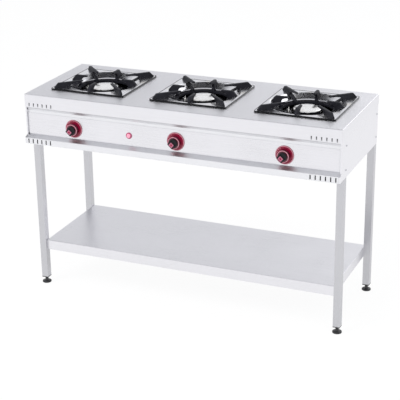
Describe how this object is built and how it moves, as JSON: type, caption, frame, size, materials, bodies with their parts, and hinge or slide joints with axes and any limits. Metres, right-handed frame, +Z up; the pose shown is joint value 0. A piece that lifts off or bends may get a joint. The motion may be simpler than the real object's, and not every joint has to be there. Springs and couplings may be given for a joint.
{
  "type": "gas range",
  "caption": "Freestanding stainless gas range: row of square grates over bowls, recessed control panel with knobs, open stand with shelf and levelling feet.",
  "frame": {"origin": "on the floor, under the middle of the whole range's box", "axes": "+X to the right seen from the front, +Y to the back, +Z up"},
  "size_m": [1.4094, 0.5756, 0.926],
  "materials": {
    "stainless_top": "fine brushed along the length",
    "stainless_panel": "fine brushed",
    "stainless_stand": "fine brushed along the tube",
    "stainless_bowl": "pressed, smooth",
    "zinc_steel": "dull",
    "black_enamel": "gloss",
    "cast_iron": "matt, sand-cast grain",
    "polished_cap": "polished",
    "brass": "machined",
    "spindle_steel": "bright drawn",
    "dial_red": "gloss",
    "knob_black": "satin",
    "knob_wine": "gloss",
    "knob_pink": "gloss",
    "bezel_red": "gloss",
    "ceramic_white": "unglazed",
    "pipe_steel": "satin",
    "black_plastic": "matt",
    "foot_black": "matt"
  },
  "bodies": {
    "range_body": {"worktop": "stainless_top", "side_panel_left": "stainless_panel", "side_panel_right": "stainless_panel", "back_panel": "stainless_panel", "bottom_panel": "stainless_panel", "control_panel": "stainless_panel", "front_frame": "stainless_panel", "shelf": "stainless_stand", "leg_front_left": "stainless_stand", "leg_front_right": "stainless_stand", "leg_rear_left": "stainless_stand", "leg_rear_right": "stainless_stand", "burner_rail_front": "zinc_steel", "burner_rail_rear": "zinc_steel", "panel_screws": "zinc_steel", "shelf_screws": "zinc_steel", "surround_left": "black_enamel", "burner_body_left": "cast_iron", "tap_body_left": "brass", "dial_left": "dial_red", "surround_centre": "black_enamel", "burner_body_centre": "cast_iron", "tap_body_centre": "brass", "dial_centre": "dial_red", "surround_right": "black_enamel", "burner_body_right": "cast_iron", "tap_body_right": "brass", "dial_right": "dial_red", "injectors": "brass", "spark_electrodes": "ceramic_white", "thermocouples": "spindle_steel", "gas_manifold": "pipe_steel", "igniter_housing": "bezel_red", "leg_plugs": "black_plastic"},
    "bowl_left_body": {"bowl_left": "stainless_bowl"},
    "grate_left_body": {"grate_left": "cast_iron"},
    "cap_left_body": {"burner_cap_left": "polished_cap"},
    "spindle_left_body": {"tap_spindle_left": "spindle_steel"},
    "knob_left_body": {"knob_skirt_left": "knob_wine", "knob_grip_left": "knob_black", "knob_pointer_left": "knob_pink"},
    "bowl_centre_body": {"bowl_centre": "stainless_bowl"},
    "grate_centre_body": {"grate_centre": "cast_iron"},
    "cap_centre_body": {"burner_cap_centre": "polished_cap"},
    "spindle_centre_body": {"tap_spindle_centre": "spindle_steel"},
    "knob_centre_body": {"knob_skirt_centre": "knob_wine", "knob_grip_centre": "knob_black", "knob_pointer_centre": "knob_pink"},
    "bowl_right_body": {"bowl_right": "stainless_bowl"},
    "grate_right_body": {"grate_right": "cast_iron"},
    "cap_right_body": {"burner_cap_right": "polished_cap"},
    "spindle_right_body": {"tap_spindle_right": "spindle_steel"},
    "knob_right_body": {"knob_skirt_right": "knob_wine", "knob_grip_right": "knob_black", "knob_pointer_right": "knob_pink"},
    "igniter_button_body": {"igniter_button": "knob_pink"},
    "foot_front_left_body": {"foot_front_left": "foot_black"},
    "foot_front_right_body": {"foot_front_right": "foot_black"},
    "foot_rear_left_body": {"foot_rear_left": "foot_black"},
    "foot_rear_right_body": {"foot_rear_right": "foot_black"}
  },
  "joints": [
    {"name": "knob_turn_left", "type": "hinge", "parent": "range_body", "child": "spindle_left_body", "pos_m": [-0.475, -0.26545, 0.767], "axis": [0, 1, 0], "range_deg": [0, 210]},
    {"name": "knob_push_left", "type": "slide", "parent": "spindle_left_body", "child": "knob_left_body", "axis": [0, 1, 0], "range_m": [0, 0.003], "stiffness_N_per_m": 800, "springref_m": -0.002},
    {"name": "bowl_lift_left", "type": "slide", "parent": "range_body", "child": "bowl_left_body", "axis": [0, 0, 1], "range_m": [0, 0.06]},
    {"name": "grate_lift_left", "type": "slide", "parent": "bowl_left_body", "child": "grate_left_body", "axis": [0, 0, 1], "range_m": [0, 0.06]},
    {"name": "cap_lift_left", "type": "slide", "parent": "range_body", "child": "cap_left_body", "axis": [0, 0, 1], "range_m": [0, 0.03]},
    {"name": "knob_turn_centre", "type": "hinge", "parent": "range_body", "child": "spindle_centre_body", "pos_m": [-0.005, -0.26545, 0.767], "axis": [0, 1, 0], "range_deg": [0, 210]},
    {"name": "knob_push_centre", "type": "slide", "parent": "spindle_centre_body", "child": "knob_centre_body", "axis": [0, 1, 0], "range_m": [0, 0.003], "stiffness_N_per_m": 800, "springref_m": -0.002},
    {"name": "bowl_lift_centre", "type": "slide", "parent": "range_body", "child": "bowl_centre_body", "axis": [0, 0, 1], "range_m": [0, 0.06]},
    {"name": "grate_lift_centre", "type": "slide", "parent": "bowl_centre_body", "child": "grate_centre_body", "axis": [0, 0, 1], "range_m": [0, 0.06]},
    {"name": "cap_lift_centre", "type": "slide", "parent": "range_body", "child": "cap_centre_body", "axis": [0, 0, 1], "range_m": [0, 0.03]},
    {"name": "knob_turn_right", "type": "hinge", "parent": "range_body", "child": "spindle_right_body", "pos_m": [0.465, -0.26545, 0.767], "axis": [0, 1, 0], "range_deg": [0, 210]},
    {"name": "knob_push_right", "type": "slide", "parent": "spindle_right_body", "child": "knob_right_body", "axis": [0, 1, 0], "range_m": [0, 0.003], "stiffness_N_per_m": 800, "springref_m": -0.002},
    {"name": "bowl_lift_right", "type": "slide", "parent": "range_body", "child": "bowl_right_body", "axis": [0, 0, 1], "range_m": [0, 0.06]},
    {"name": "grate_lift_right", "type": "slide", "parent": "bowl_right_body", "child": "grate_right_body", "axis": [0, 0, 1], "range_m": [0, 0.06]},
    {"name": "cap_lift_right", "type": "slide", "parent": "range_body", "child": "cap_right_body", "axis": [0, 0, 1], "range_m": [0, 0.03]},
    {"name": "igniter_push", "type": "slide", "parent": "range_body", "child": "igniter_button_body", "axis": [0, 1, 0], "range_m": [0, 0.003], "stiffness_N_per_m": 800, "springref_m": -0.002},
    {"name": "foot_level_front_left", "type": "slide", "parent": "range_body", "child": "foot_front_left_body", "axis": [0, 0, -1], "range_m": [0, 0.02]},
    {"name": "foot_level_front_right", "type": "slide", "parent": "range_body", "child": "foot_front_right_body", "axis": [0, 0, -1], "range_m": [0, 0.02]},
    {"name": "foot_level_rear_left", "type": "slide", "parent": "range_body", "child": "foot_rear_left_body", "axis": [0, 0, -1], "range_m": [0, 0.02]},
    {"name": "foot_level_rear_right", "type": "slide", "parent": "range_body", "child": "foot_rear_right_body", "axis": [0, 0, -1], "range_m": [0, 0.02]}
  ]
}
